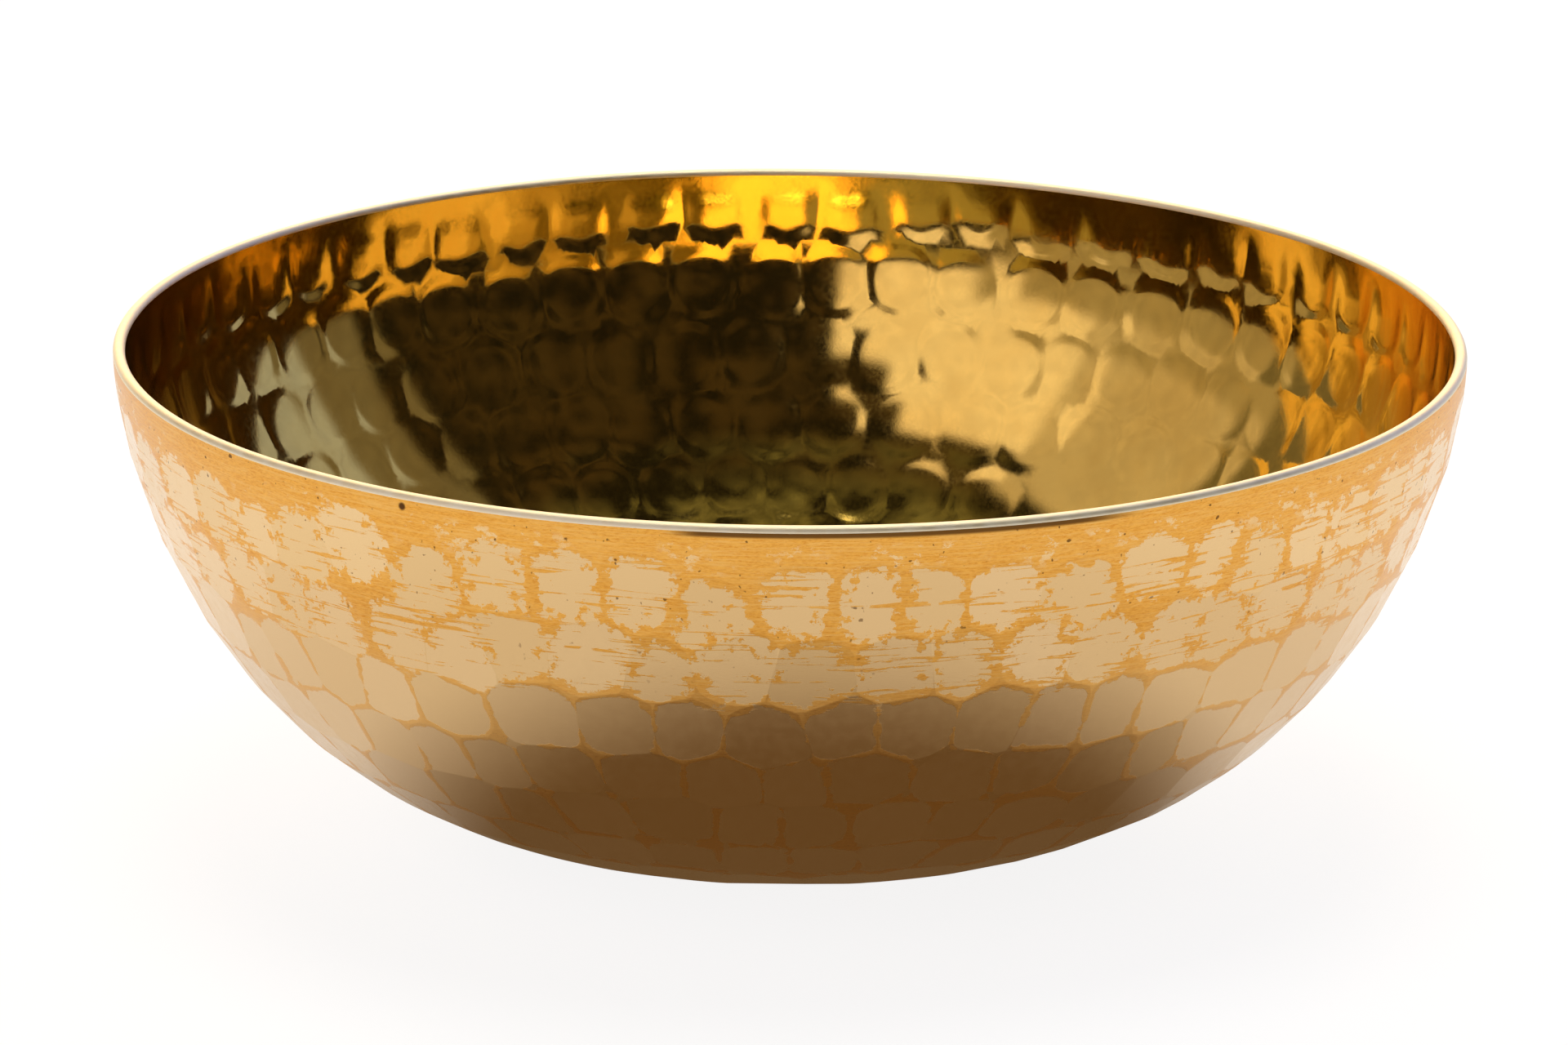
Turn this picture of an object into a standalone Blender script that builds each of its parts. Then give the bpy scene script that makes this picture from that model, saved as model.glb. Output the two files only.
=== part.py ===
"""Hammered brass bowl: one sheet of brass raised into a deep round bowl.

The bowl stands on the flat of its base, at the origin, with +Z up. Its outer face is a turned
curve: a flat disc, then a belly that rises and ends upright at the rim. The inner face lies one
sheet's thickness inside it, and the rim between them is rounded over.
"""

import math

import bmesh
import bpy

# Driving dimensions, in metres.
RIM_RADIUS = 0.100
HEIGHT = 0.072
BASE_RADIUS = 0.024
SHEET_THICKNESS = 0.0018

# The belly's shape: how soon it turns upright, and how square its lower corner is.
UPRIGHT_POWER = 1.66
BELLY_POWER = 2.5

# How finely the turned surface is cut.
TURN_STEPS = 72
WALL_STEPS = 18
RIM_STEPS = 6

BRASS_COLOUR = (0.80, 0.52, 0.20, 1.0)
BRASS_ROUGHNESS = 0.3


def clear_scene():
    for obj in list(bpy.data.objects):
        bpy.data.objects.remove(obj, do_unlink=True)


def wall_radius(height):
    """Radius of the outer face at a height above the base."""
    below_rim = 1 - height / (HEIGHT - SHEET_THICKNESS / 2)
    rise = (1 - max(below_rim, 0) ** UPRIGHT_POWER) ** (1 / BELLY_POWER)
    return BASE_RADIUS + (RIM_RADIUS - BASE_RADIUS) * rise


def outer_profile():
    """Points (radius, height) up the outer face, from the edge of the flat base to the rim."""
    straight_top = HEIGHT - SHEET_THICKNESS / 2
    points = []
    for step in range(WALL_STEPS + 1):
        share = step / WALL_STEPS
        # Steps crowd towards the base, where the curve is tightest.
        height = straight_top * share**2.2
        points.append((wall_radius(height), height))
    return points


def offset_inwards(points, distance):
    """The same profile moved towards the bowl's inside, at right angles to itself."""
    moved = []
    for index, (radius, height) in enumerate(points):
        before = points[max(index - 1, 0)]
        after = points[min(index + 1, len(points) - 1)]
        run = after[0] - before[0]
        rise = after[1] - before[1]
        length = math.hypot(run, rise)
        moved.append((radius - distance * rise / length, height + distance * run / length))
    return moved


def rim_profile():
    """The half-round edge, from the outer face over to the inner face."""
    edge_radius = SHEET_THICKNESS / 2
    points = []
    for step in range(1, RIM_STEPS):
        angle = math.pi * step / RIM_STEPS
        radius = RIM_RADIUS - edge_radius + edge_radius * math.cos(angle)
        points.append((radius, HEIGHT - edge_radius + edge_radius * math.sin(angle)))
    return points


def shell_profile():
    """The whole half-section: axis, base, outer wall, rim, inner wall and back to the axis."""
    outer = outer_profile()
    inner = offset_inwards(outer, SHEET_THICKNESS)
    inner[0] = (BASE_RADIUS, SHEET_THICKNESS)
    inner[-1] = (RIM_RADIUS - SHEET_THICKNESS, HEIGHT - SHEET_THICKNESS / 2)
    return [(0.0, 0.0), *outer, *rim_profile(), *reversed(inner), (0.0, SHEET_THICKNESS)]


def turned_mesh(name, profile):
    """A closed body made by spinning a half-section once round the Z axis."""
    body = bmesh.new()
    vertices = [body.verts.new((radius, 0.0, height)) for radius, height in profile]
    edges = [body.edges.new(pair) for pair in zip(vertices, vertices[1:])]
    bmesh.ops.spin(
        body,
        geom=vertices + edges,
        axis=(0.0, 0.0, 1.0),
        cent=(0.0, 0.0, 0.0),
        angle=math.tau,
        steps=TURN_STEPS,
        use_merge=True,
    )
    bmesh.ops.remove_doubles(body, verts=body.verts, dist=1e-7)
    bmesh.ops.recalc_face_normals(body, faces=body.faces)
    mesh = bpy.data.meshes.new(name)
    body.to_mesh(mesh)
    body.free()
    mesh.shade_smooth()
    mesh.set_sharp_from_angle(angle=math.radians(30))
    return mesh


def brass():
    material = bpy.data.materials.new("brass")
    material.use_nodes = True
    shader = material.node_tree.nodes["Principled BSDF"]
    shader.inputs["Base Color"].default_value = BRASS_COLOUR
    shader.inputs["Metallic"].default_value = 1.0
    shader.inputs["Roughness"].default_value = BRASS_ROUGHNESS
    return material


def make_bowl_shell():
    mesh = turned_mesh("bowl_shell", shell_profile())
    mesh.materials.append(brass())
    bowl = bpy.data.objects.new("bowl_shell", mesh)
    bpy.context.scene.collection.objects.link(bowl)
    return bowl


clear_scene()
make_bowl_shell()
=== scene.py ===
"""Hammered brass bowl: its hammered surface, its finishes and the studio that it stands in.

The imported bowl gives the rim's radius and the height, and the rest follows from them and from the
named values below. The sheet's two faces, outer and inner, are turned curves. Hammer blows lie on each
in rows: they leave near-flat marks on the outer face and rounded dimples on the inner one. Lengths in
the layout are in millimetres and angles in radians. Only the finished mesh and the studio are in metres.
"""

import math

import bpy
import numpy as np
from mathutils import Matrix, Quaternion, Vector
from mathutils.geometry import delaunay_2d_cdt


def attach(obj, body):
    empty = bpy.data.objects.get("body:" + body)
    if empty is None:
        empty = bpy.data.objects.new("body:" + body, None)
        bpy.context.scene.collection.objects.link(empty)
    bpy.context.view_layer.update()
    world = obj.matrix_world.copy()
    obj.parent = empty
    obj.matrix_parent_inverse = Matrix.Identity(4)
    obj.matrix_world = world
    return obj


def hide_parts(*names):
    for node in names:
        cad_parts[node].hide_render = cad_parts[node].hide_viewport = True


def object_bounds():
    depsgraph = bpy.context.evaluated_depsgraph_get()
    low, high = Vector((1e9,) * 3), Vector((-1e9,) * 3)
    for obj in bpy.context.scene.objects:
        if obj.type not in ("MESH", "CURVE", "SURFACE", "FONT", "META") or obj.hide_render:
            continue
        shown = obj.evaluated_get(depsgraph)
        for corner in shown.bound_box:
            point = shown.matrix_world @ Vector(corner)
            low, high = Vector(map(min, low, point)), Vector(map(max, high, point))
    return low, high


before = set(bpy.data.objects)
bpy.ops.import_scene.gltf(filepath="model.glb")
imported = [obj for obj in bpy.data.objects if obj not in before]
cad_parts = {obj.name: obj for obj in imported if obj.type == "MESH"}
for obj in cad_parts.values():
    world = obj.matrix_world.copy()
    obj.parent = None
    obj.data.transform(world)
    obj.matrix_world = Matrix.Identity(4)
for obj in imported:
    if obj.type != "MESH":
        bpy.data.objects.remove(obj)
cad_low, cad_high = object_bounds()

MM = 0.001

# The bowl's form, in the same proportions as its CAD solid.
RIM_RADIUS = cad_high.x / MM
HEIGHT = cad_high.z / MM
BASE_RADIUS = 0.24 * RIM_RADIUS
SHEET = 0.018 * RIM_RADIUS
UPRIGHT_POWER = 1.66
BELLY_POWER = 2.5

# The rim: how finely it is cut, and how far a hand-made edge strays from a true ring.
RIM_POINTS = 420
RIM_ROUND_STEPS = 10
RIM_WAVE = 0.26

# The hammering: blows go round in rows, from just under the rim down to the flat base. Each blow's
# outline is found along rays from its centre.
SEED = 58
BLOW_PITCH = 10.6
FIRST_MARKS = 10.5
FIRST_DIMPLES = 6.0
ROW_PITCH = 11.2
SOLE = 1.03 * BASE_RADIUS
RAYS = 32
FARTHEST_REACH = 13.0

# Marks: the least and most depth of an outer flat, the spread of the blows' tilt, how far in from its
# edges a mark's corners start to round off, and the distance that hides a groove between two marks.
MARK_DEPTHS = (0.22, 0.31)
BLOW_TILT = 0.010
CORNER_ROUNDING = 1.6
GROOVE_HIDDEN = 1.5

# Dimples: how deep those of the first row, the second and the rest are, how steeply their edges curve
# up, and how far down its blow a first-row trough ends.
DIMPLE_DEPTHS = (0.25, 0.27, 0.19)
DISH_CURVE = 0.0046
LIP_START = 3.9
SECOND_LIP = 0.036
LOWER_LIP = 0.024
TROUGH_END = 1.6
TROUGH_LIP_START = 1.5
TROUGH_SIDE_LIP = 0.026
TROUGH_END_LIP = 0.044

# The relief fades out over these distances from the rim.
MARKS_FADE = 1.6
DIMPLES_FADE = 7.04

# The inner face is hollowed under the rim with the first slope, then rises again with the second. Each
# change of slope is spread between two distances from the rim. The left-hand half, past the angle given,
# is hollowed fully, and the right-hand half by the least share.
HOLLOW_SLOPE = 0.062
RISING_SLOPE = 0.035
HOLLOW_STARTS = (1.5, 4.5)
RISE_STARTS = (11.0, 16.0)
RISE_ENDS = (30.0, 36.0)
LEAST_HOLLOW = 0.3
HOLLOW_TURN = math.radians(78)

# The mesh keeps this far inside each blow's outline.
OUTLINE_INSET = 0.09

# The camera, which looks down on the bowl from well back.
VIEW_DISTANCE = 12.0 * RIM_RADIUS * MM
VIEW_ELEVATION = 16.72
VIEW_ROLL = math.radians(0.31)
VIEW_LENS = 184.9
VIEW_TARGET = (-0.0083 * RIM_RADIUS * MM, 0.0, 0.592 * HEIGHT * MM)


def smooth_step(value, low, high):
    share = np.clip((value - low) / (high - low), 0, 1)
    return share * share * (3 - 2 * share)


# ---------------------------------------------------------------- the two faces of the sheet


class Face:
    """One face of the sheet as a turned curve. s is the distance down it from the rim."""

    def __init__(self, radius, height, facing):
        """facing is 1 for the outer face and -1 for the inner one."""
        steps = np.hypot(np.diff(radius), np.diff(height))
        self.s = np.concatenate([[0.0], np.cumsum(steps)])
        self.length = self.s[-1]
        self.radius = radius
        self.height = height
        self.facing = facing
        self.run = np.gradient(radius, self.s)
        self.fall = np.gradient(height, self.s)

    def at(self, values, s):
        return np.interp(s, self.s, values)

    def place(self, s, turn):
        """Points, normals and downward directions at distances s and angles turn."""
        radius, height = self.at(self.radius, s), self.at(self.height, s)
        run, fall = self.at(self.run, s), self.at(self.fall, s)
        size = np.hypot(run, fall)
        run, fall = run / size, fall / size
        out = np.stack([np.cos(turn), np.sin(turn), np.zeros_like(turn)], -1)
        up = np.array([0.0, 0.0, 1.0])
        points = out * radius[..., None] + up * height[..., None]
        normals = self.facing * (up * run[..., None] - out * fall[..., None])
        down = out * run[..., None] + up * fall[..., None]
        return points, normals, down

    def to_plane(self, s, turn):
        """The face spread flat as a disc about its lowest point, so that it has no seam."""
        reach = self.length - s
        return np.stack([reach * np.cos(turn), reach * np.sin(turn)], -1)

    def from_plane(self, flat):
        reach = np.hypot(flat[:, 0], flat[:, 1])
        return self.length - reach, np.arctan2(flat[:, 1], flat[:, 0])


def belly_curve():
    """Radius and height of the outer face, from the rim's shoulder down to the base's centre."""
    shoulder = HEIGHT - SHEET / 2
    share = np.linspace(1, 0, 4000) ** 3
    rise = (1 - (1 - share) ** UPRIGHT_POWER) ** (1 / BELLY_POWER)
    radius = BASE_RADIUS + (RIM_RADIUS - BASE_RADIUS) * rise
    flat = np.linspace(BASE_RADIUS, 0, 200)[1:]
    return np.concatenate([radius, flat]), np.concatenate([share * shoulder, 0 * flat])


def make_faces():
    radius, height = belly_curve()
    outer = Face(radius, height, 1)
    size = np.hypot(outer.run, outer.fall)
    inner_radius = np.maximum(radius + SHEET * outer.fall / size, 0)
    inner_height = height - SHEET * outer.run / size
    inner_radius[-1] = 0
    return outer, Face(inner_radius, inner_height, -1)


# ---------------------------------------------------------------- the hammer blows


def lay_out_blows(face, first_row, last_radius, random):
    """Where the blows land on a face, row by row: distance down it, angle and number of the row."""
    rows = []
    s = first_row
    number = 0
    while face.at(face.radius, s) > last_radius:
        around = 2 * math.pi * face.at(face.radius, s)
        count = max(1, round(around / BLOW_PITCH))
        steps = 1 + random.uniform(-0.12, 0.12, count)
        turn = np.cumsum(steps) / steps.sum() * 2 * math.pi + random.uniform(0, 2 * math.pi)
        sway = 0.4 * np.sin(3 * turn + number) + random.normal(0, 0.3, count)
        rows.append(np.stack([s + sway, turn, np.full(count, number)], -1))
        s += ROW_PITCH
        number += 1
    return np.concatenate(rows)


class Blows:
    """The struck faces that the blows leave on one face of the sheet."""

    def __init__(self, face, layout, depth, tilt):
        self.s, self.turn, self.row = layout.T
        self.depth = depth
        self.tilt = tilt
        self.centre, self.normal, self.down = face.place(self.s, self.turn)
        self.across = np.stack([-np.sin(self.turn), np.cos(self.turn), 0 * self.turn], -1)
        gap = np.linalg.norm(self.centre[:, None] - self.centre[None], axis=-1)
        self.near = np.argsort(gap, axis=1)[:, 1:13]

    def local(self, which, points):
        """Points in a blow's own frame: across it, down it and out of the sheet."""
        offset = points - self.centre[which]
        x = np.einsum("...i,...i", offset, self.across[which])
        y = np.einsum("...i,...i", offset, self.down[which])
        z = np.einsum("...i,...i", offset, self.normal[which])
        return x, y, z

    def lean(self, which, x, y):
        return self.tilt[which][..., 0] * x + self.tilt[which][..., 1] * y

    def walk(self, face, number, x, y):
        """(s, turn) of the unstruck surface at x across and y down from a blow's centre."""
        radius = face.at(face.radius, self.s[number])
        run = face.at(face.run, self.s[number])
        out = radius + run * y
        turn = self.turn[number] + np.arctan2(x, out)
        return self.s[number] + y + run * (np.hypot(out, x) - out), turn

    def outlines(self, face):
        """How far each blow reaches along each ray before another blow or bare metal takes over."""
        count = len(self.s)
        angles = np.arange(RAYS) * 2 * math.pi / RAYS
        radii = np.linspace(0.4, FARTHEST_REACH, 52)
        number = np.arange(count)[:, None, None]
        x = radii * np.cos(angles)[:, None] + 0 * number
        y = radii * np.sin(angles)[:, None] + 0 * number
        s, turn = self.walk(face, number, x, y)
        points, wall, _ = face.place(s, turn)
        own = self.heights(number, points, wall)
        lead = -own
        for neighbour in self.near.T:
            other = self.heights(neighbour[:, None, None], points, wall)
            lead = np.minimum(lead, other - own)
        lead = np.minimum(lead, (s - 0.35) * 0.1)
        lead = np.minimum(lead, (face.length - s - self.sole) * 0.1)
        ended = lead <= 0
        last = np.where(ended.any(-1), ended.argmax(-1), len(radii) - 1)
        first = np.maximum(last - 1, 0)
        before = np.take_along_axis(lead, first[..., None], -1)[..., 0]
        after = np.take_along_axis(lead, last[..., None], -1)[..., 0]
        share = np.clip(before / np.maximum(before - after, 1e-9), 0, 1)
        return angles, radii[first] + share * (radii[last] - radii[first])

    def nearest(self, points, count=8):
        """Numbers of the blows nearest to each point, worked out in batches to save memory."""
        count = min(count, len(self.s) - 1)
        found = []
        for batch in np.array_split(points, max(1, len(points) // 4000)):
            gap = ((batch[:, None] - self.centre[None]) ** 2).sum(-1)
            found.append(np.argpartition(gap, count, axis=1)[:, :count])
        return np.concatenate(found)


class Marks(Blows):
    """Flat marks on the outer face. The sole stays unstruck."""

    sole = SOLE

    def heights(self, which, points, wall):
        """Height of a blow's flat over points of the unstruck surface."""
        x, y, z = self.local(which, points)
        flat = self.lean(which, x, y) - self.depth[which] - z
        return flat / np.einsum("...i,...i", wall, self.normal[which])

    def normals(self, which):
        found = self.normal[which] - self.across[which] * self.tilt[which, :1]
        return found - self.down[which] * self.tilt[which, 1:]

    def groove_gap(self, first, second):
        """Distance added between a mark and its neighbour: none where a groove shows there."""
        low, high = np.minimum(first, second), np.maximum(first, second)
        chance = (low * 7919 + high * 104729) % 997 / 997
        same_row = self.row[low] == self.row[high]
        beside = np.where(self.row[low] < 2, 0.4, 0.6)
        above = np.where(self.row[low] == 0, 0.5, 0.75)
        grooved = np.where(same_row, beside, above)
        return np.where(chance < grooved, 0.0, GROOVE_HIDDEN)

    def relief(self, face, s, turn):
        """Height of the struck surface, and how far inside a mark each point lies."""
        points, wall, _ = face.place(s, turn)
        which = self.nearest(points)
        heights = self.heights(which, points[:, None], wall[:, None])
        order = np.argsort(heights, axis=-1)
        rows = np.arange(len(points))
        height, above = heights[rows, order[:, 0]], heights[rows, order[:, 1]]
        blow, other = which[rows, order[:, 0]], which[rows, order[:, 1]]
        x, y, _ = self.local(blow, points)
        rho = np.hypot(x, y)
        depth = self.depth[blow]
        bound = np.sqrt(depth / np.maximum(height + depth, 1e-3 * depth))
        inset = np.where(rho < 1.5, 5.0, rho * (bound - 1))
        bend = np.linalg.norm(self.normal[blow] - self.normal[other], axis=-1)
        to_groove = (above - height) / bend + self.groove_gap(blow, other)
        past_edge = np.maximum(CORNER_ROUNDING - inset, 0)
        past_groove = np.maximum(CORNER_ROUNDING - to_groove, 0)
        rounded = CORNER_ROUNDING - np.hypot(past_edge, past_groove)
        nearer = np.minimum(np.minimum(inset, to_groove), rounded)
        inset = np.where(above < 0, nearer, inset)
        fade = smooth_step(s, 0, MARKS_FADE)
        fade = fade * smooth_step(face.length - s, BASE_RADIUS, SOLE)
        return np.minimum(height, 0) * fade, inset * fade


class Dimples(Blows):
    """Dimples of the domed hammer on the inner face. Those of the first row run up to the rim."""

    sole = 0.0
    ROUNDING = 0.040

    def heights(self, which, points, wall):
        """Height of a blow's dish. A first-row one is a trough with a steep round lower end."""
        x, y, _ = self.local(which, points)
        first = self.row[which] == 0
        along = np.where(first, np.maximum(y - TROUGH_END, 0), y)
        q = np.maximum(np.hypot(x, along), 0.01)
        steep = np.where(self.row[which] == 1, SECOND_LIP, LOWER_LIP)
        steep = np.where(first, TROUGH_SIDE_LIP + TROUGH_END_LIP * (along / q) ** 2, steep)
        lip = steep * np.maximum(q - np.where(first, TROUGH_LIP_START, LIP_START), 0) ** 2
        dish = np.where(first, 0, DISH_CURVE * q * q)
        return dish + lip + self.lean(which, x, y) - self.depth[which]

    def relief(self, face, s, turn):
        """Height of the struck surface, with its ridges rounded over."""
        points, wall, _ = face.place(s, turn)
        which = self.nearest(points)
        heights = self.heights(which, points[:, None], wall[:, None])
        weight = np.exp(np.clip(-heights / self.ROUNDING, -60, 60)).sum(-1)
        height = -self.ROUNDING * np.log(1 + weight)
        return height * smooth_step(s, 0, DIMPLES_FADE) + hollow(s, turn), 0 * s


def hollow(s, turn):
    """Height of the inner face over its smooth curve, before the dimples. It is never above it.

    The right-hand half is hollowed less than the left.
    """
    steps = np.linspace(0, 60, 601)
    rising = smooth_step(steps, *RISE_STARTS)
    slope = RISING_SLOPE * (rising - smooth_step(steps, *RISE_ENDS))
    slope -= HOLLOW_SLOPE * (smooth_step(steps, *HOLLOW_STARTS) - rising)
    height = np.minimum(np.cumsum(slope) * (steps[1] - steps[0]), 0)
    left = smooth_step(np.sin(turn - HOLLOW_TURN), -0.12, 0.12)
    return np.interp(s, steps, height) * (LEAST_HOLLOW + (1 - LEAST_HOLLOW) * left)


def make_marks(face, random):
    layout = lay_out_blows(face, FIRST_MARKS, BASE_RADIUS + 0.35 * BLOW_PITCH, random)
    depth = random.uniform(*MARK_DEPTHS, len(layout))
    return Marks(face, layout, depth, random.normal(0, BLOW_TILT, (len(layout), 2)))


def make_dimples(face, random):
    layout = lay_out_blows(face, FIRST_DIMPLES, 0.2 * BLOW_PITCH, random)
    first = layout[:, 2] == 0
    layout[first, 0] += random.normal(0, 0.4, first.sum())
    depth = np.array(DIMPLE_DEPTHS)[np.minimum(layout[:, 2], 2).astype(int)]
    depth += random.uniform(-0.03, 0.03, len(layout))
    tilt = random.normal(0, BLOW_TILT, (len(layout), 2))
    tilt[first] += random.normal(0, BLOW_TILT, (first.sum(), 2))
    return Dimples(face, layout, depth, tilt)


# ---------------------------------------------------------------- the hammered mesh


def loop_edges(first, count):
    return [(first + i, first + (i + 1) % count) for i in range(count)]


def bare_points(face, blows):
    """Points on the metal that no blow reached: round the rim, in wide gaps and on the base."""
    found = []
    for s in np.arange(1.0, face.length, 1.9):
        count = max(3, int(2 * math.pi * face.at(face.radius, s) / 2.2))
        turn = np.arange(count) * 2 * math.pi / count + s
        found.append(np.stack([np.full(count, s), turn], -1))
    s, turn = np.concatenate(found).T
    points, wall, _ = face.place(s, turn)
    heights = blows.heights(blows.nearest(points), points[:, None], wall[:, None])
    bare = (heights.min(-1) > 0.02) | (face.length - s < blows.sole)
    return face.to_plane(s, turn)[bare]


def spread_points(face, blows, rings):
    """Points of one face spread flat, their owners, and the edges that the mesh has to follow.

    rings gives, for each ring inside a blow's outline, its share of the reach and its rays.
    """
    flat = [face.to_plane(np.zeros(RIM_POINTS), np.arange(RIM_POINTS) * 2 * math.pi / RIM_POINTS)]
    owner = [np.full(RIM_POINTS, -1)]
    edges = loop_edges(0, RIM_POINTS)
    size = RIM_POINTS
    angles, reach = blows.outlines(face)
    for number in range(len(blows.s)):
        for share, skip in rings:
            rho = np.maximum(reach[number] - OUTLINE_INSET, 0.2)[::skip] * share
            ray = angles[::skip]
            s, turn = blows.walk(face, number, rho * np.cos(ray), rho * np.sin(ray))
            flat.append(face.to_plane(s, turn))
            owner.append(np.full(len(ray), number))
            if share == 1:
                edges += loop_edges(size, len(ray))
            size += len(ray)
    flat.append(face.to_plane(blows.s, blows.turn))
    owner.append(np.arange(len(blows.s)))
    bare = bare_points(face, blows)
    flat.append(bare)
    owner.append(np.full(len(bare), -1))
    return np.concatenate(flat), np.concatenate(owner), edges


class HammeredFace:
    """The mesh of one face of the sheet: points, triangles, normals and what its finish needs."""

    def __init__(self, face, blows, rings):
        flat, owner, edges = spread_points(face, blows, rings)
        made = delaunay_2d_cdt([Vector(p) for p in flat], edges, [], 0, 1e-5, True)
        spread = np.array([(p.x, p.y) for p in made[0]])
        self.owner = np.array([owner[ids[0]] if ids else -1 for ids in made[3]])
        self.triangles = np.array(made[2])
        s, turn = face.from_plane(spread)
        self.on_rim = np.flatnonzero(s < 1e-3)
        self.on_rim = self.on_rim[np.argsort(turn[self.on_rim] % (2 * math.pi - 1e-4))]
        s[self.on_rim] = 0
        self.place = np.stack([np.cos(turn), np.sin(turn), s], -1)
        points, wall, _ = face.place(s, turn)
        height, self.inset = blows.relief(face, s, turn)
        self.points = points + wall * height[:, None]
        self.normals = wall
        self.s, self.turn = s, turn

    def in_mark(self):
        """The blow that each triangle belongs to, or -1 for metal between marks."""
        owners = self.owner[self.triangles]
        same = (owners[:, 0] == owners[:, 1]) & (owners[:, 1] == owners[:, 2])
        return np.where(same, owners[:, 0], -1)

    def flatten_marks(self, marks):
        """Corner normals: even over each flat mark, and smooth over the metal between them."""
        owner = self.in_mark()
        fade = smooth_step(self.s, 0, MARKS_FADE)[self.triangles][..., None]
        smooth = self.normals[self.triangles]
        flats = marks.normals(np.maximum(owner, 0))[:, None]
        return np.where((owner >= 0)[:, None, None], smooth + (flats - smooth) * fade, smooth)

    def follow_relief(self, face, blows, step=0.1):
        """Turns the normals to follow the relief's slope."""
        around = step / np.maximum(face.at(face.radius, self.s), 1.0)
        turned = [blows.relief(face, self.s, self.turn + way * around)[0] for way in (-1, 1)]
        lower = np.maximum(self.s - step, 0)
        moved = [blows.relief(face, s, self.turn)[0] for s in (lower, self.s + step)]
        _, wall, down = face.place(self.s, self.turn)
        across = np.stack([-np.sin(self.turn), np.cos(self.turn), 0 * self.turn], -1)
        slope_x = (turned[1] - turned[0]) / (2 * step)
        slope_y = (moved[1] - moved[0]) / (self.s + step - lower)
        self.normals = wall - across * slope_x[:, None] - down * slope_y[:, None]


def rim_rings():
    """Points and normals of the rounded edge, ring by ring, between the two faces' own rings."""
    turn = np.arange(RIM_POINTS) * 2 * math.pi / RIM_POINTS
    out = np.stack([np.cos(turn), np.sin(turn), 0 * turn], -1)
    up = np.array([0.0, 0.0, 1.0])
    middle = out * (RIM_RADIUS - SHEET / 2) + up * (HEIGHT - SHEET / 2)
    rings = []
    for step in range(1, RIM_ROUND_STEPS):
        angle = math.pi * step / RIM_ROUND_STEPS
        normal = out * math.cos(angle) + up * math.sin(angle)
        rings.append((middle + normal * SHEET / 2, normal))
    return rings


def hand_made(points):
    """Lets the rim wander a little, up and down and in and out, as a hand-made edge does."""
    turn = np.arctan2(points[:, 1], points[:, 0])
    lift = (points[:, 2] / HEIGHT) ** 2
    dip = 1.9 + np.sin(2 * turn + 0.6) + 0.6 * np.sin(5 * turn + 2.0) + 0.3 * np.sin(9 * turn)
    draw = 1.8 + np.sin(3 * turn + 1.1) + 0.5 * np.sin(7 * turn + 0.3) + 0.3 * np.sin(13 * turn)
    moved = points.copy()
    moved[:, 2] -= RIM_WAVE * 0.3 * lift * dip
    moved[:, :2] *= (1 - RIM_WAVE * 0.3 * lift * draw / RIM_RADIUS)[:, None]
    return moved


OUTSIDE, EDGE, INSIDE = range(3)


def assemble(outer, outer_corners, inner, random):
    """One closed mesh from the two hammered faces and the rounded edge between them."""
    start = len(outer.points)
    rings = rim_rings()
    inner_start = start + RIM_POINTS * len(rings)
    points = np.concatenate([outer.points] + [p for p, _ in rings] + [inner.points])
    loops = [outer.on_rim]
    loops += [start + RIM_POINTS * i + np.arange(RIM_POINTS) for i in range(len(rings))]
    loops += [inner_start + inner.on_rim]
    quads = [np.stack([low, np.roll(low, -1), np.roll(high, -1), high], -1)
             for low, high in zip(loops, loops[1:])]
    quads = np.concatenate(quads)
    faces = outer.triangles[:, ::-1].tolist() + quads.tolist()
    faces += (inner.triangles + inner_start).tolist()
    mesh = bpy.data.meshes.new("hammered_bowl")
    mesh.from_pydata((hand_made(points) * MM).tolist(), [], faces)

    edge_normals = np.concatenate([outer.normals] + [n for _, n in rings] + [inner.normals])
    normals = [outer_corners[:, ::-1].reshape(-1, 3), edge_normals[quads].reshape(-1, 3)]
    normals.append(inner.normals[inner.triangles].reshape(-1, 3))
    normals = np.concatenate(normals)
    normals /= np.linalg.norm(normals, axis=-1, keepdims=True)
    mesh.shade_smooth()
    mesh.normals_split_custom_set(normals.tolist())

    sizes = (len(outer.triangles), len(quads), len(inner.triangles))
    slots = np.repeat([OUTSIDE, EDGE, INSIDE], sizes)
    mesh.polygons.foreach_set("material_index", slots.astype(np.int32))
    ring_place = outer.place[outer.on_rim] * (1, 1, 0)
    place = np.concatenate([outer.place] + [ring_place] * len(rings) + [inner.place])
    inset = np.concatenate([outer.inset, np.zeros(RIM_POINTS * len(rings)), inner.inset])
    tones = random.uniform(0, 1, 1 + max(outer.owner.max(), inner.owner.max()))
    tone = [tones[np.maximum(outer.in_mark(), 0)], np.full(len(quads), 0.5)]
    tone = np.concatenate(tone + [tones[np.maximum(inner.in_mark(), 0)]])
    put(mesh, "wall_place", "FLOAT_VECTOR", "POINT", "vector", place)
    put(mesh, "mark_inset", "FLOAT", "POINT", "value", inset)
    put(mesh, "mark_tone", "FLOAT", "FACE", "value", tone)
    return mesh


def put(mesh, name, kind, domain, field, values):
    layer = mesh.attributes.new(name, kind, domain)
    layer.data.foreach_set(field, np.asarray(values, np.float32).ravel())


def make_bowl():
    random = np.random.default_rng(SEED)
    outer_face, inner_face = make_faces()
    marks = make_marks(outer_face, random)
    dimples = make_dimples(inner_face, random)
    outer = HammeredFace(outer_face, marks, [(1, 1), (0.75, 2)])
    inner = HammeredFace(inner_face, dimples, [(1, 1), (0.87, 1), (0.72, 1), (0.48, 2), (0.24, 4)])
    inner.follow_relief(inner_face, dimples)
    mesh = assemble(outer, outer.flatten_marks(marks), inner, random)
    bowl = bpy.data.objects.new("hammered_bowl", mesh)
    bpy.context.scene.collection.objects.link(bowl)
    return bowl


# ---------------------------------------------------------------- finishes


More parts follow.
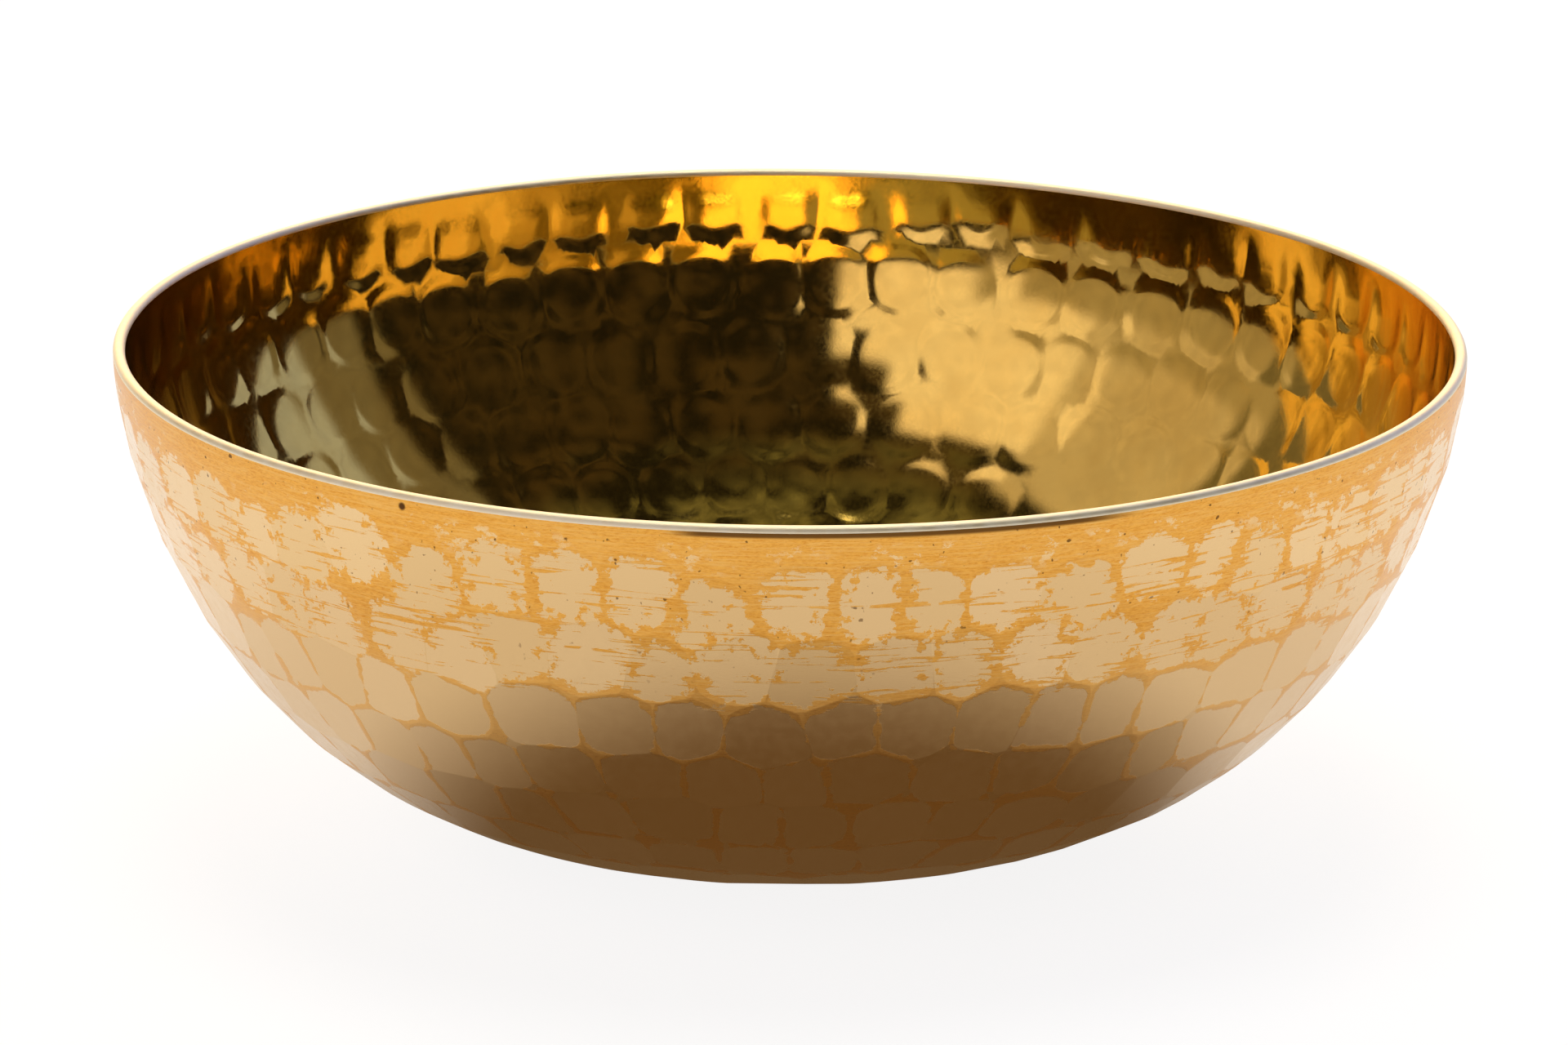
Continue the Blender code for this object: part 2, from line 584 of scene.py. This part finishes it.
class Recipe:
    """A shader's nodes, added so that a finish reads from top to bottom."""

    def __init__(self, owner):
        owner.use_nodes = True
        self.tree = owner.node_tree
        self.shader = self.tree.nodes.get("Principled BSDF")

    def add(self, kind, inputs=(), **settings):
        made = self.tree.nodes.new(kind)
        for key, value in settings.items():
            setattr(made, key, value)
        for key, value in dict(inputs).items():
            self.feed(made.inputs[key], value)
        return made

    def feed(self, socket, value):
        if isinstance(value, bpy.types.NodeSocket):
            self.tree.links.new(value, socket)
        else:
            socket.default_value = value

    def attribute(self, name, output):
        return self.add("ShaderNodeAttribute", attribute_name=name).outputs[output]

    def math(self, operation, first, second=0.0):
        made = self.add("ShaderNodeMath", {0: first, 1: second}, operation=operation)
        return made.outputs[0]

    def scaled(self, vector, scale):
        made = self.add("ShaderNodeVectorMath", {0: vector, 1: scale}, operation="MULTIPLY")
        return made.outputs[0]

    def noise(self, vector, scale=1.0, detail=3.0, roughness=0.5, distortion=0.0):
        inputs = {"Vector": vector, "Scale": scale, "Detail": detail}
        inputs.update({"Roughness": roughness, "Distortion": distortion})
        return self.add("ShaderNodeTexNoise", inputs).outputs["Fac"]

    def ramp(self, value, low, high, to_low=0.0, to_high=1.0):
        inputs = {"Value": value, "From Min": low, "From Max": high}
        inputs.update({"To Min": to_low, "To Max": to_high})
        return self.add("ShaderNodeMapRange", inputs, interpolation_type="SMOOTHSTEP").outputs[0]

    def mix(self, share, first, second):
        made = self.add("ShaderNodeMix", data_type="RGBA")
        self.feed(made.inputs["Factor"], share)
        self.feed(made.inputs[6], first)
        self.feed(made.inputs[7], second)
        return made.outputs[2]

    def bump(self, height, strength, distance):
        inputs = {"Height": height, "Strength": strength, "Distance": distance}
        return self.add("ShaderNodeBump", inputs).outputs[0]


GROUND_COLOUR = (0.84, 0.425, 0.075, 1.0)
GROUND_DARK = (0.66, 0.27, 0.035, 1.0)
DARK_BROWN = (0.13, 0.055, 0.015, 1.0)

# A small dark brown spot just under the rim, to the left of the front: across, away and down, in mm.
DARK_SPOT = (-53.7, -84.4, 1.0)


def outside_finish():
    """Pale burnished marks on a satin orange-gold ground, worn and streaked near the rim."""
    material = bpy.data.materials.new("hammered_outside")
    r = Recipe(material)
    place = r.attribute("wall_place", "Vector")
    inset = r.attribute("mark_inset", "Fac")
    tone = r.attribute("mark_tone", "Fac")
    sides = r.add("ShaderNodeSeparateXYZ", {0: place}).outputs
    down = sides[2]

    cloud = r.noise(r.scaled(place, (9, 9, 0.09)), 1.0, 3.0, 0.6)
    worn = r.ramp(down, 22.0, 31.0, 1.0, 0.0)
    worn = r.math("MULTIPLY", worn, r.ramp(cloud, 0.28, 0.52, 0.35, 1.0))
    ragged = r.noise(r.scaled(place, (46, 46, 0.5)), 1.0, 5.0, 0.65)
    streak = r.noise(r.scaled(place, (6.5, 6.5, 1.15)), 1.0, 5.0, 0.62, 0.7)
    bite = r.math("MULTIPLY", r.ramp(streak, 0.54, 0.64), 4.2)
    bite = r.math("ADD", bite, r.ramp(ragged, 0.38, 0.75, 0.0, 3.0))
    bite = r.math("MULTIPLY", bite, worn)
    bite = r.math("ADD", bite, r.math("MULTIPLY", ragged, 0.42))
    waver = r.noise(r.scaled(place, (15, 15, 0.15)), 1.0, 3.0, 0.6)
    waver = r.math("MULTIPLY", r.ramp(waver, 0.36, 0.62, -0.55, 0.30), r.ramp(down, 20.0, 30.0))
    bite = r.math("ADD", bite, waver)
    mark = r.ramp(r.math("SUBTRACT", inset, bite), 0.0, 0.25)

    flakes = r.noise(r.scaled(place, (30, 30, 0.55)), 1.0, 5.0, 0.7)
    under_rim = r.math("MULTIPLY", r.ramp(down, 1.2, 2.6), r.ramp(down, 4.5, 7.5, 1.0, 0.0))
    under_rim = r.math("MULTIPLY", under_rim, r.ramp(cloud, 0.40, 0.56))
    flake = r.math("MULTIPLY", r.ramp(flakes, 0.54, 0.60), under_rim)
    mark = r.math("MAXIMUM", mark, flake)

    grain = r.noise(r.scaled(place, (120, 120, 6.0)), 1.0, 4.0, 0.7)
    brushed = r.noise(r.scaled(place, (14, 14, 3.2)), 1.0, 4.0, 0.7, 0.6)
    ground = r.mix(r.ramp(grain, 0.32, 0.62), GROUND_DARK, GROUND_COLOUR)
    ground = r.mix(r.ramp(brushed, 0.42, 0.68, 0.0, 0.8), ground, (0.84, 0.48, 0.13, 1.0))
    ground = r.mix(r.ramp(down, 20.0, 34.0, 0.0, 0.7), ground, (0.78, 0.46, 0.15, 1.0))
    pale = r.mix(tone, (0.78, 0.53, 0.25, 1.0), (0.83, 0.58, 0.30, 1.0))
    colour = r.mix(mark, ground, pale)

    specks = r.noise(r.scaled(place, (110, 110, 1.1)), 1.0, 1.0, 0.4)
    speck = r.math("MULTIPLY", r.ramp(specks, 0.73, 0.79), r.ramp(down, 6.0, 34.0, 0.8, 0.0))
    # A thin dark brown line just under the rim, over part of the front, fading out downwards.
    line = r.math("MULTIPLY", r.ramp(sides[0], -0.18, -0.12), r.ramp(sides[0], 0.40, 0.50, 1.0, 0.0))
    line = r.math("MULTIPLY", line, r.ramp(sides[1], -0.5, 0.0, 1.0, 0.0))
    line = r.math("MULTIPLY", line, r.ramp(down, 0.45, 0.95, 0.9, 0.0))
    spread = r.scaled(place, (RIM_RADIUS, RIM_RADIUS, 1.0))
    dark_spot = r.add("ShaderNodeVectorMath", {0: spread, 1: DARK_SPOT}, operation="DISTANCE")
    dark_spot = r.ramp(dark_spot.outputs["Value"], 0.35, 0.75, 1.0, 0.0)
    dark = r.math("MAXIMUM", speck, r.math("MAXIMUM", line, dark_spot))
    colour = r.mix(dark, colour, DARK_BROWN)
    r.feed(r.shader.inputs["Base Color"], colour)

    r.shader.inputs["Metallic"].default_value = 1.0
    rough = r.math("ADD", r.ramp(grain, 0.3, 0.7, 0.27, 0.38), r.math("MULTIPLY", dark, 0.2))
    smooth = r.ramp(ragged, 0.3, 0.7, 0.17, 0.25)
    blend = r.add("ShaderNodeMix", {0: mark, 2: rough, 3: smooth}, data_type="FLOAT")
    r.feed(r.shader.inputs["Roughness"], blend.outputs[0])
    relief = r.math("ADD", r.math("MULTIPLY", grain, 0.3), r.math("MULTIPLY", mark, -0.5))
    r.feed(r.shader.inputs["Normal"], r.bump(relief, 0.35, 0.00004))
    return material


def edge_finish():
    """The rim's own edge, filed round and polished. Its pale colour is partly the brass's own and partly
    a painted highlight along the edge.
    """
    material = bpy.data.materials.new("edge_with_painted_highlight")
    r = Recipe(material)
    place = r.attribute("wall_place", "Vector")
    wear = r.noise(r.scaled(place, (30, 30, 1)), 1.0, 3.0, 0.6)
    # These pale colours are partly the brass's own and partly a painted highlight along the rounded
    # edge.
    colour = r.mix(r.ramp(wear, 0.3, 0.7), (1.0, 0.88, 0.62, 1.0), (1.0, 0.93, 0.74, 1.0))
    r.feed(r.shader.inputs["Base Color"], colour)
    r.shader.inputs["Metallic"].default_value = 1.0
    r.feed(r.shader.inputs["Roughness"], r.ramp(wear, 0.3, 0.7, 0.52, 0.64))
    return material


def inside_finish():
    """Polished brass, with faint ripples and a thin uneven tarnish."""
    material = bpy.data.materials.new("polished_inside")
    r = Recipe(material)
    place = r.attribute("wall_place", "Vector")
    tarnish = r.noise(r.scaled(place, (5, 5, 0.05)), 1.0, 4.0, 0.6)
    fine = r.noise(r.scaled(place, (160, 160, 1.6)), 1.0, 3.0, 0.6)
    colour = r.mix(r.ramp(tarnish, 0.3, 0.75), (0.96, 0.66, 0.15, 1.0), (0.93, 0.60, 0.12, 1.0))
    r.feed(r.shader.inputs["Base Color"], colour)
    r.shader.inputs["Metallic"].default_value = 1.0
    r.feed(r.shader.inputs["Roughness"], r.ramp(fine, 0.3, 0.7, 0.07, 0.13))
    r.feed(r.shader.inputs["Normal"], r.bump(fine, 0.12, 0.00003))
    return material


# ---------------------------------------------------------------- the studio


def aim(obj, target, roll=0.0):
    """Turns the camera to face a point, with a roll about its line of sight."""
    away = Vector(target) - obj.location
    obj.rotation_mode = "QUATERNION"
    turn = away.to_track_quat("-Z", "Y")
    obj.rotation_quaternion = turn @ Quaternion((0, 0, 1), roll)


def around(azimuth, elevation, distance, target):
    """A point seen from target at an azimuth to the right of the front, and an elevation."""
    azimuth, elevation = math.radians(azimuth), math.radians(elevation)
    flat = math.cos(elevation) * distance
    offset = (math.sin(azimuth) * flat, -math.cos(azimuth) * flat, math.sin(elevation) * distance)
    return Vector(target) + Vector(offset)


def disc(name, radius, height):
    """A flat round stage piece on the floor."""
    turn = [2 * math.pi * i / 96 for i in range(96)]
    mesh = bpy.data.meshes.new(name)
    corners = [(radius * math.cos(a), radius * math.sin(a), height) for a in turn]
    mesh.from_pydata(corners, [], [list(range(96))])
    obj = bpy.data.objects.new(name, mesh)
    bpy.context.scene.collection.objects.link(obj)
    return obj


def make_floor():
    """A white floor, and the bowl's own soft shade on it, which only its reflections show."""
    floor = disc("studio_floor", 4.0, -0.0002)
    material = bpy.data.materials.new("pale_floor")
    shader = Recipe(material).shader
    shader.inputs["Base Color"].default_value = (0.22, 0.22, 0.22, 1.0)
    shader.inputs["Roughness"].default_value = 1.0
    shader.inputs["Specular IOR Level"].default_value = 0.0
    shader.inputs["Emission Color"].default_value = (1.0, 1.0, 1.0, 1.0)
    shader.inputs["Emission Strength"].default_value = 0.88
    floor.data.materials.append(material)

    shade = disc("bowl_shade", 0.25, -0.0001)
    shade.data.materials.append(shade_material())
    shade.visible_camera = False
    shade.visible_diffuse = False
    shade.visible_shadow = False
    shade.visible_transmission = False


# The middle of the shade that the front of the wall mirrors, on the floor in front of the bowl.
SHADE_CENTRE = (0.004, -0.052, 0.0)


def shade_material():
    """Clear outside the shade, and glowing a dim brown inside it."""
    material = bpy.data.materials.new("bowl_shade")
    r = Recipe(material)
    place = r.add("ShaderNodeTexCoord").outputs["Object"]
    near = r.add("ShaderNodeVectorMath", {0: place, 1: SHADE_CENTRE}, operation="DISTANCE")
    under = r.add("ShaderNodeVectorMath", {0: place}, operation="LENGTH")
    front = r.ramp(near.outputs["Value"], 0.047, 0.107, 1.0, 0.0)
    wide = r.ramp(near.outputs["Value"], 0.10, 0.19, 0.30, 0.0)
    foot = r.ramp(under.outputs["Value"], 0.052, 0.095, 0.75, 0.0)
    colour = r.mix(front, (0.40, 0.28, 0.15, 1.0), (0.145, 0.088, 0.039, 1.0))
    clear = r.add("ShaderNodeBsdfTransparent")
    glow = r.add("ShaderNodeEmission", {"Color": colour, "Strength": 1.0})
    share = r.math("MAXIMUM", r.math("MAXIMUM", front, foot), wide)
    mix = r.add("ShaderNodeMixShader", {0: share, 1: clear.outputs[0], 2: glow.outputs[0]})
    r.feed(r.tree.nodes["Material Output"].inputs["Surface"], mix.outputs[0])
    return material


# The studio's soft lights as seen from the bowl: azimuth to the right of the front, half width,
# elevation and half height, all in degrees, then colour. None is a gap that shows the dim room.
# Later ones cover earlier ones. Each fades out over PANEL_EDGE on both sides of its border.
PANELS = (
    ("left_diffuser", -84, 25, 31, 20, (0.54, 0.46, 0.47)),
    ("front_diffuser", -36, 25, 28, 20, (0.90, 0.78, 0.88)),
    ("front_shade", -4, 20, 49, 12, None),
    ("left_low", -78, 38, 7, 12, (0.36, 0.30, 0.26)),
    ("back_left", -125, 22, 28, 30, (0.17, 0.145, 0.11)),
    ("right_wall", 104, 18, 26, 19, (0.16, 0.145, 0.15)),
    ("back_right", 128, 25, 30, 28, (0.36, 0.42, 0.80)),
    ("backdrop", -173, 31, 26, 36, (2.4, 1.8, 1.2)),
)
PANEL_EDGE = 3

# The overhead light: azimuth and elevation, its outer and inner radius in degrees, then colour.
OVERHEAD = (176, 83, 17, 11, (5.2, 5.0, 4.5))


def make_world():
    """A dim room with soft panels round the bowl. Behind the bowl the camera sees plain white."""
    world = bpy.data.worlds.new("studio")
    bpy.context.scene.world = world
    r = Recipe(world)
    toward = r.add("ShaderNodeTexCoord").outputs["Generated"]
    height = r.add("ShaderNodeSeparateXYZ", {0: toward}).outputs[2]
    elevation = r.math("MULTIPLY", r.math("ARCSINE", height), 180 / math.pi)
    patches = r.noise(toward, 4.5, 3.0, 0.6)
    dim = r.mix(r.ramp(elevation, 48, 70), (0.050, 0.034, 0.020, 1), (0.19, 0.18, 0.12, 1))
    room = r.mix(r.ramp(patches, 0.40, 0.66), (0.012, 0.010, 0.008, 1), dim)
    glow = room
    for _, azimuth, half_width, middle, half_height, colour in PANELS:
        turn = {"Vector": toward, "Angle": -math.radians(azimuth)}
        turned = r.add("ShaderNodeVectorRotate", turn, rotation_type="Z_AXIS").outputs[0]
        parts = r.add("ShaderNodeSeparateXYZ", {0: turned}).outputs
        aside = r.math("ARCTAN2", parts[0], r.math("MULTIPLY", parts[1], -1.0))
        aside = r.math("MULTIPLY", r.math("ABSOLUTE", aside), 180 / math.pi)
        wide = r.ramp(aside, half_width - PANEL_EDGE, half_width + PANEL_EDGE, 1.0, 0.0)
        away = r.math("ABSOLUTE", r.math("SUBTRACT", elevation, middle))
        tall = r.ramp(away, half_height - PANEL_EDGE, half_height + PANEL_EDGE, 1.0, 0.0)
        glow = r.mix(r.math("MULTIPLY", wide, tall), glow, (*colour, 1.0) if colour else room)
    azimuth, up, outer, inner, colour = OVERHEAD
    middle = tuple(around(azimuth, up, 1.0, (0, 0, 0)))
    facing = r.add("ShaderNodeVectorMath", {0: toward, 1: middle}, operation="DOT_PRODUCT")
    low, high = math.cos(math.radians(outer)), math.cos(math.radians(inner))
    glow = r.mix(r.ramp(facing.outputs["Value"], low, high), glow, (*colour, 1.0))

    uneven = r.ramp(r.noise(toward, 10.0, 2.0, 0.5), 0.3, 0.7, 0.88, 1.08)
    background = r.tree.nodes["Background"]
    r.feed(background.inputs["Color"], glow)
    r.feed(background.inputs["Strength"], uneven)
    white = r.add("ShaderNodeBackground", {"Color": (1, 1, 1, 1), "Strength": 1.0})
    path = r.add("ShaderNodeLightPath").outputs["Is Camera Ray"]
    mix = r.add("ShaderNodeMixShader", {0: path, 1: background.outputs[0], 2: white.outputs[0]})
    r.feed(r.tree.nodes["World Output"].inputs["Surface"], mix.outputs[0])


def make_camera():
    camera = bpy.data.objects.new("camera", bpy.data.cameras.new("camera"))
    camera.data.lens = VIEW_LENS
    camera.data.sensor_width = 36.0
    camera.data.clip_end = 20.0
    camera.location = around(0, VIEW_ELEVATION, VIEW_DISTANCE, VIEW_TARGET)
    bpy.context.scene.collection.objects.link(camera)
    aim(camera, VIEW_TARGET, VIEW_ROLL)
    bpy.context.scene.camera = camera


# ---------------------------------------------------------------- the scene

make_camera()
bowl = make_bowl()
for finish in (outside_finish(), edge_finish(), inside_finish()):
    bowl.data.materials.append(finish)
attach(bowl, "root")
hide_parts("bowl_shell")

make_floor()
make_world()
bpy.context.scene.view_settings.view_transform = "Standard"
